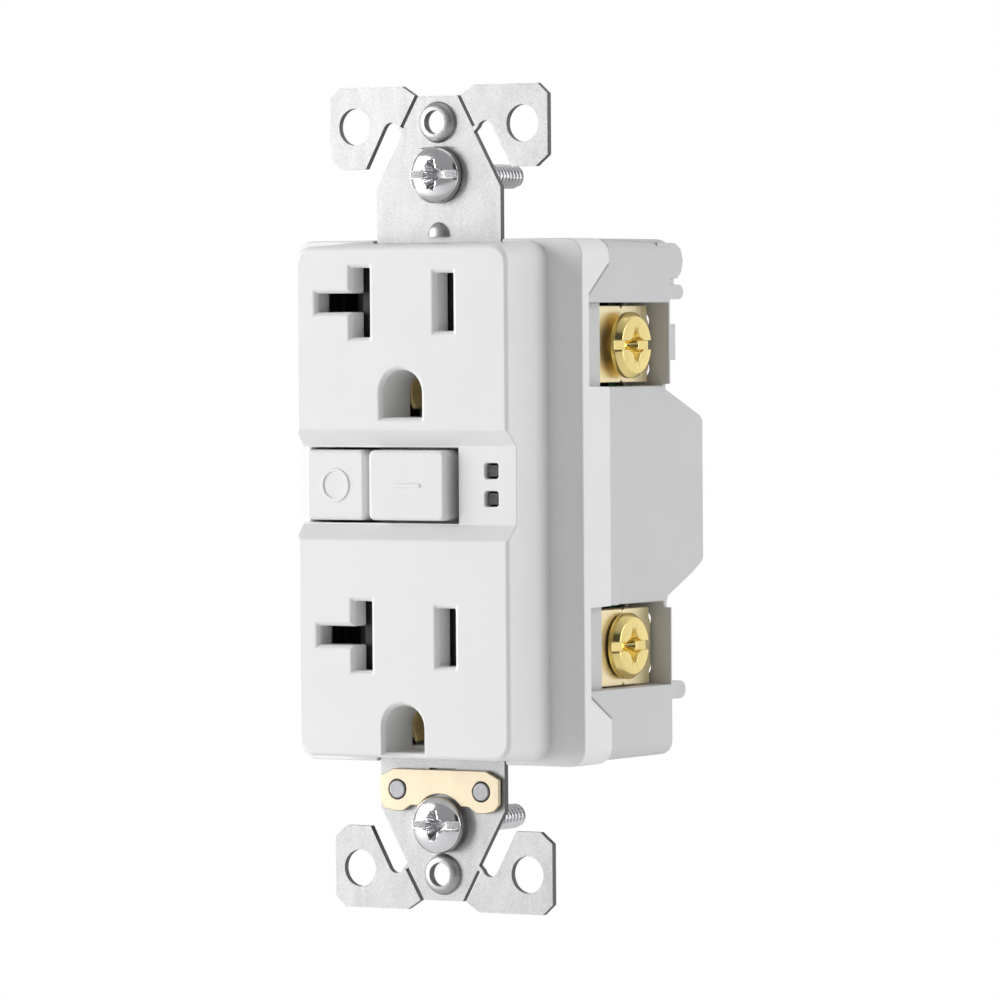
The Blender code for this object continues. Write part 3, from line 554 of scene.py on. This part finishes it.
def softened(node, width_mm):
    """A copy of a CAD node with rounded edges, less rounded where there is no room for it."""
    obj = new_object(f"{node}_shell", clean_copy(node), material(SLOT_OF[node]))
    mesh = bmesh.new()
    mesh.from_mesh(obj.data)
    weight = mesh.edges.layers.float.new("bevel_weight_edge")
    sharp = [e for e in mesh.edges if e.calc_face_angle(0.0) > ROUND_ABOVE]
    for edge in sharp:
        edge[weight] = 1.0
    bevel = obj.modifiers.new("edge", "BEVEL")
    bevel.width = width_mm * MM
    bevel.segments = SHELL_SEGMENTS
    bevel.limit_method = "WEIGHT"
    bevel.use_clamp_overlap = False
    for _ in range(ROUNDING_TRIES):
        mesh.to_mesh(obj.data)
        bpy.context.view_layer.update()
        graph = bpy.context.evaluated_depsgraph_get()
        spots = overlap_spots(obj.evaluated_get(graph).data)
        if not spots:
            break
        for edge in sharp:
            start, end = (v.co for v in edge.verts)
            for spot in spots:
                place, share = intersect_point_line(spot, start, end)
                nearest = start.lerp(end, min(1.0, max(0.0, share)))
                if (nearest - spot).length < NEAR_EDGE_WIDTHS * width_mm * MM:
                    edge[weight] *= DRAW_BACK if edge[weight] > LEAST_ROUNDING else 0.0
                    break
    mesh.free()
    settle(obj)
    finish_shading(obj)
    place_on(obj, node)
    return obj


def arc(centre, radius, start, end, steps):
    """Points along an arc between two angles in degrees."""
    turns = [math.radians(start + (end - start) * i / steps) for i in range(steps + 1)]
    return [(centre[0] + radius * math.cos(t), centre[1] + radius * math.sin(t)) for t in turns]


def round_rect(x, z, radius, steps=8):
    return (
        arc((x[1] - radius, z[1] - radius), radius, 0, 90, steps)
        + arc((x[0] + radius, z[1] - radius), radius, 90, 180, steps)
        + arc((x[0] + radius, z[0] + radius), radius, 180, 270, steps)
        + arc((x[1] - radius, z[0] + radius), radius, 270, 360, steps)
    )


def loft(rings):
    """A closed body through loops of points with equal counts, in millimetres."""
    mesh = bmesh.new()
    loops = [[mesh.verts.new(Vector(p) * MM) for p in ring] for ring in rings]
    for low, high in zip(loops, loops[1:]):
        for i in range(len(low)):
            j = (i + 1) % len(low)
            mesh.faces.new((low[i], low[j], high[j], high[i]))
    mesh.faces.new(loops[0])
    mesh.faces.new(loops[-1][::-1])
    bmesh.ops.recalc_face_normals(mesh, faces=mesh.faces[:])
    return mesh


def lathe(rows, columns=56):
    """Rows of (radius, height), where a radius may be a function of the turn from 0 to 1."""
    rings = []
    for radius, height in rows:
        ring = []
        for i in range(columns):
            turn = i / columns
            r = radius(turn) if callable(radius) else radius
            ring.append((r * math.cos(math.tau * turn), r * math.sin(math.tau * turn), height))
        rings.append(ring)
    return loft(rings)


def combine(obj, operation, *tools):
    """Cuts each tool's mesh from the object, or joins it to the object, and removes the tools."""
    helpers = []
    for tool in tools:
        helper = new_object("tool", tool, obj.data.materials[0])
        modifier = obj.modifiers.new("combined", "BOOLEAN")
        modifier.operation = operation
        modifier.object = helper
        helpers.append(helper)
    settle(obj)
    for helper in helpers:
        data = helper.data
        bpy.data.objects.remove(helper)
        bpy.data.meshes.remove(data)


# Screws, modelled standing on the plane z = 0 with the head up, in millimetres

THREAD_PITCH = 0.794
CASE_THREAD_PITCH = 0.9
HEAD_EDGE = 0.1
DOME_STEPS = 10


def thread_rows(root, crest, pitch, top, bottom, steps=8):
    """A right-hand thread as rows whose radius runs round with the turn."""

    def radius_at(height):
        def radius(turn):
            phase = (height / pitch - turn) % 1.0
            ramp = min(1.0, max(0.0, 2.2 - abs(phase - 0.5) * 6.0))
            return root + (crest - root) * ramp

        return radius

    count = int((top - bottom) / pitch * steps)
    heights = [top - (top - bottom) * i / count for i in range(count + 1)]
    return [(radius_at(h), h) for h in heights]


def cross_tool(reach, root, tip, depth, top):
    """A recess of four arms, from half width root at the middle to tip at their ends."""

    def ring(share, height):
        r, w, c = reach * share, tip * share, root * share
        quarter = [(r, -w), (r, w), (c, c)]
        points = []
        for k in range(4):
            turn = math.pi / 2 * k
            c, s = math.cos(turn), math.sin(turn)
            points += [(x * c - y * s, x * s + y * c, height) for x, y in quarter]
        return points

    floor_share = 0.45
    lift = 0.6
    slope = 1 + lift / depth * (1 - floor_share)
    return loft([ring(slope, top + lift), ring(1.0, top), ring(floor_share, top - depth)])


def slot_tool(length, width, low, high):
    """A straight slot of the given half length and half width."""
    corners = [(-length, -width), (length, -width), (length, width), (-length, width)]
    return loft([[(x, y, low) for x, y in corners], [(x, y, high) for x, y in corners]])


def head_rows(radius, rim, top, flat=0.0):
    """Rows from the crown down to the underside: a dome, or a flat top when flat is its radius."""
    rows = [(0.05, top)]
    if flat:
        rows += [(flat * 0.6, top), (flat, top - 0.02)]
        for i in range(1, 4):
            t = i / 4
            rows.append((flat + (radius - flat) * t, top - (top - rim) * t))
    else:
        for i in range(1, DOME_STEPS):
            t = math.radians(90 * (1 - i / DOME_STEPS))
            rows.append((radius * math.cos(t), rim + (top - rim) * math.sin(t)))
    return rows + [(radius, rim), (radius, HEAD_EDGE), (radius - HEAD_EDGE, 0.0)]


def add_screw(node, rows, tools, direction, place, slot):
    """A screw in place of the CAD node, standing at the place with its head in the direction."""
    obj = new_object(f"{node}_body", lathe(rows), material(slot))
    combine(obj, "DIFFERENCE", *tools)
    turn = Vector(direction).to_track_quat("Z", "Y").to_matrix().to_4x4()
    obj.data.transform(Matrix.Translation(Vector(place) * MM) @ turn)
    soften(obj, 0.07, 40)
    place_on(obj, node)


def add_mounting_screws():
    length, reach = 19.5, 18.6
    for end in ("upper", "lower"):
        node = f"mounting_screw_{end}"
        base = box_mm(node)[1][1] - length
        z = centre_of(node)[2]
        rows = head_rows(3.7, 0.62, 1.9) + [(1.5, 0.0), (1.5, -0.9)]
        rows += thread_rows(1.2, 1.6, THREAD_PITCH, -1.0, -reach) + [(1.1, -19.1), (0.8, -19.45)]
        tools = [slot_tool(5, 0.5, 0.95, 3.0), cross_tool(1.9, 0.75, 0.45, 2.3, 1.75)]
        add_screw(node, rows, tools, (0, -1, 0), (0, base, z), "bright_steel")


def add_terminal_screws():
    head = 1.6
    for feed in ("load", "line"):
        for side, s in (("hot", 1), ("neutral", -1)):
            node = f"{feed}_{side}_screw"
            low, high = box_mm(node)
            base = (high[0] if s > 0 else -low[0]) - head
            _, y, z = centre_of(node)
            rows = head_rows(4.3, 0.7, 1.5, flat=3.65) + [(1.95, 0.0), (1.95, -0.3)]
            rows += thread_rows(1.5, 1.88, THREAD_PITCH, -0.4, -7.0) + [(1.3, -7.5)]
            tools = [slot_tool(5.5, 0.575, 0.65, 2.6), cross_tool(2.25, 1.0, 0.4, 2.2, 1.5)]
            slot = "screw_brass" if side == "hot" else "screw_nickel"
            add_screw(node, rows, tools, (s, 0, 0), (base * s, y, z), slot)


def add_case_screws():
    head = 1.4
    for end in ("upper", "lower"):
        for side in ("left", "right"):
            node = f"case_screw_{end}_{side}"
            base = box_mm(node)[1][1] - head
            x, _, z = centre_of(node)
            rows = head_rows(2.3, 0.5, 1.35) + [(0.9, 0.0), (0.9, -0.5)]
            rows += thread_rows(0.7, 0.94, CASE_THREAD_PITCH, -0.6, -18.0, 6) + [(0.4, -18.5)]
            tools = [cross_tool(1.25, 0.45, 0.28, 0.9, 1.3)]
            add_screw(node, rows, tools, (0, 1, 0), (x, base, z), "zinc_steel")


# Springs

STEPS_PER_TURN = 20
WIRE_SIDES = 8


def coil(name, node, axis, radius, wire, turns, joint=None):
    """A round-wire spring filling its CAD node's length along one axis, with a mesh of its own when it has
    a joint.
    """
    low, high = box_mm(node)
    centre = centre_of(node)
    k = "XYZ".index(axis)
    start, end = low[k] + wire, high[k] - wire
    steps = int(turns * STEPS_PER_TURN)
    others = [i for i in range(3) if i != k]
    rings = []
    for i in range(steps + 1):
        t = i / steps
        turn = math.tau * turns * t
        ring = []
        for j in range(WIRE_SIDES):
            b = math.tau * j / WIRE_SIDES
            r = radius + wire * math.cos(b)
            point = [0.0, 0.0, 0.0]
            point[k] = start + (end - start) * t + wire * math.sin(b)
            point[others[0]] = centre[others[0]] + r * math.cos(turn)
            point[others[1]] = centre[others[1]] + r * math.sin(turn)
            ring.append(point)
        rings.append(ring)
    obj = new_object(name, loft(rings), material("bright_steel"))
    place_on(obj, node)
    if joint:
        anchor = [c * MM for c in centre]
        anchor[k] = high[k] * MM
        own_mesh(obj)


def add_springs():
    coil("test_coil", "test_spring", "Y", 0.92, 0.2, 5, {"name": "test_press", "keep": 0.64})
    coil("reset_coil", "reset_spring", "Y", 2.35, 0.36, 7, {"name": "reset_press", "keep": 0.755})
    for end in ("upper", "lower"):
        joint = {"name": f"shutter_{end}_slide", "keep": 0.25}
        coil(f"shutter_coil_{end}", f"shutter_spring_{end}", "X", 0.66, 0.17, 6, joint)
    coil("plunger_coil", "plunger_spring", "X", 1.76, 0.2, 3)


# Buttons

TEST_X, TEST_Z = (-15.4, -6.4), (-2.6, 6.4)
RESET_X, RESET_Z = (-5.2, 6.3), (-2.55, 6.4)
MARK_RISE = 0.15


def outline(x, z, y, inset, corner, steps=8):
    """A rounded rectangle at the depth y, drawn in by the inset."""
    sides = (x[0] + inset, x[1] - inset), (z[0] + inset, z[1] - inset)
    return [(a, y, b) for a, b in round_rect(*sides, corner, steps)]


def button_cap(x, z, face, rear, edge):
    """A cap with a rounded front edge, a little wider at the rear."""
    corner, least_corner, draft, steps = 0.8, 0.25, 0.1, 6
    rings = []
    for i in range(steps + 1):
        t = math.radians(90 * i / steps)
        inset = edge * (1 - math.sin(t))
        y = face + edge * (1 - math.cos(t))
        rings.append(outline(x, z, y, inset, max(corner - inset, least_corner)))
    rings.append(outline(x, z, rear, -draft, corner + draft))
    return loft(rings)


def ring_mark(centre, inner, outer, low, high):
    """A raised ring with a rounded top."""
    mesh = bmesh.new()
    columns = 40
    profile = [(outer, low), (outer, high + 0.05), (outer - 0.06, high)]
    profile += [(inner + 0.06, high), (inner, high + 0.05), (inner, low)]
    loops = []
    for i in range(columns):
        turn = math.tau * i / columns
        points = [(centre[0] + r * math.cos(turn), y, centre[1] + r * math.sin(turn)) for r, y in profile]
        loops.append([mesh.verts.new(Vector(p) * MM) for p in points])
    for i in range(columns):
        one, two = loops[i], loops[(i + 1) % columns]
        for j in range(len(profile)):
            k = (j + 1) % len(profile)
            mesh.faces.new((one[j], one[k], two[k], two[j]))
    bmesh.ops.recalc_face_normals(mesh, faces=mesh.faces[:])
    return mesh


def bar_mark(x, z, low, high):
    """A raised bar with round ends."""
    half = (z[1] - z[0]) / 2 - 0.01
    levels = ((0, low), (0, high + 0.05), (0.06, high))
    return loft([outline(x, z, y, inset, half - inset, 5) for inset, y in levels])


def add_test_button():
    face = box_mm("test_button")[0][1] + MARK_RISE
    cap = button_cap(TEST_X, TEST_Z, face, -5.46, 0.5)
    test = new_object("test_cap", cap, material("button_plastic"))
    centre = (sum(TEST_X) / 2, sum(TEST_Z) / 2)
    mark = ring_mark(centre, 1.7, 2.2, face + 0.3, face - MARK_RISE)
    stem = loft([outline((-12.6, -10.8), (0.8, 2.6), y, 0, 0.2, 3) for y in (-5.6, 14.2)])
    combine(test, "UNION", mark, stem)
    soften(test, 0.04, 50)
    place_on(test, "test_button")


def add_reset_button():
    face = box_mm("reset_button")[0][1] + MARK_RISE
    cap = button_cap(RESET_X, RESET_Z, face, -5.4, 0.45)
    reset = new_object("reset_cap", cap, material("button_plastic"))
    combine(reset, "UNION", bar_mark((-1.6, 2.7), (1.65, 2.15), face + 0.3, face - MARK_RISE))
    around = arc((0.55, 1.9), 1.65, 0, 360, 24)[:-1]
    combine(reset, "DIFFERENCE", loft([[(a, y, b) for a, b in around] for y in (-8.0, -5.0)]))
    soften(reset, 0.04, 50)
    place_on(reset, "reset_button")


# Most other CAD nodes keep their shape, with edges rounded by this width

EDGES_MM = {
    "front_cover": 0.2,
    "rear_housing": 0.22,
    "separator": 0.15,
    "grounding_clip": 0.12,
    "shutter_tray": 0.12,
    "shutter_upper": 0.12,
    "shutter_lower": 0.12,
    "ground_contact_upper": 0.08,
    "ground_contact_lower": 0.08,
    "hot_contact_strip": 0.08,
    "neutral_contact_strip": 0.08,
    "hot_contact_arm": 0.1,
    "neutral_contact_arm": 0.1,
    "latch_block": 0.2,
    "latch_plate": 0.08,
    "solenoid_frame": 0.08,
    "ground_clamp": 0.12,
    "ground_screw": 0.12,
    "retaining_washer_upper": 0.08,
    "retaining_washer_lower": 0.08,
    "reset_pin": 0.08,
    "control_chip": 0.15,
    "filter_capacitor": 0.3,
    "light_pipe_upper": 0.06,
    "light_pipe_lower": 0.06,
    "circuit_board": 0.06,
}


CLAMP_REAR_Y = 18.9
TONGUE_HALF_WIDTH = 3.2
TONGUE_LENGTH = 1.0


def add_tongue(clamp, axis_z):
    """Draws the middle of the clamp's rear edge out to a short tongue."""
    for vertex in clamp.data.vertices:
        beside = abs(vertex.co.z - axis_z * MM)
        if vertex.co.y > CLAMP_REAR_Y * MM and beside < TONGUE_HALF_WIDTH * MM:
            vertex.co.y += TONGUE_LENGTH * MM


def add_strap():
    """The flat sheet strap, with its edges left sharp."""
    copy = clean_copy("mounting_strap", whole_faces=False)
    strap = new_object("strap_shell", copy, material("strap_zinc"))
    split = strap.modifiers.new("split", "EDGE_SPLIT")
    split.split_angle = SMOOTH_BELOW
    place_on(strap, "mounting_strap")


def add_shells():
    for node, width in EDGES_MM.items():
        softened(node, width)
    add_strap()
    for side in ("left", "right"):
        repaint(softened(f"clip_rivet_{side}", 0.08), "rivet_steel")
    for feed in ("load", "line"):
        for side in ("hot", "neutral"):
            terminal = softened(f"{feed}_{side}_terminal", 0.1)
            clamp = softened(f"{feed}_{side}_clamp", 0.1)
            add_tongue(clamp, centre_of(f"{feed}_{side}_screw")[2])
            if side == "hot":
                repaint(terminal, "clamp_brass")
                repaint(clamp, "clamp_brass")


def paint_rest():
    """The CAD nodes that show as they are get scene materials."""
    for node in ("status_lamp_upper", "status_lamp_lower"):
        repaint(NODES[node], "lamp_lens")
    for node in ("sense_coils", "varistor", "solenoid_coil", "solenoid_plunger"):
        repaint(NODES[node], SLOT_OF[node])


bpy.context.scene.view_settings.view_transform = "Standard"
add_world()
add_camera()
add_light()
add_floor()
add_shells()
add_test_button()
add_reset_button()
add_mounting_screws()
add_terminal_screws()
add_case_screws()
add_springs()
paint_rest()
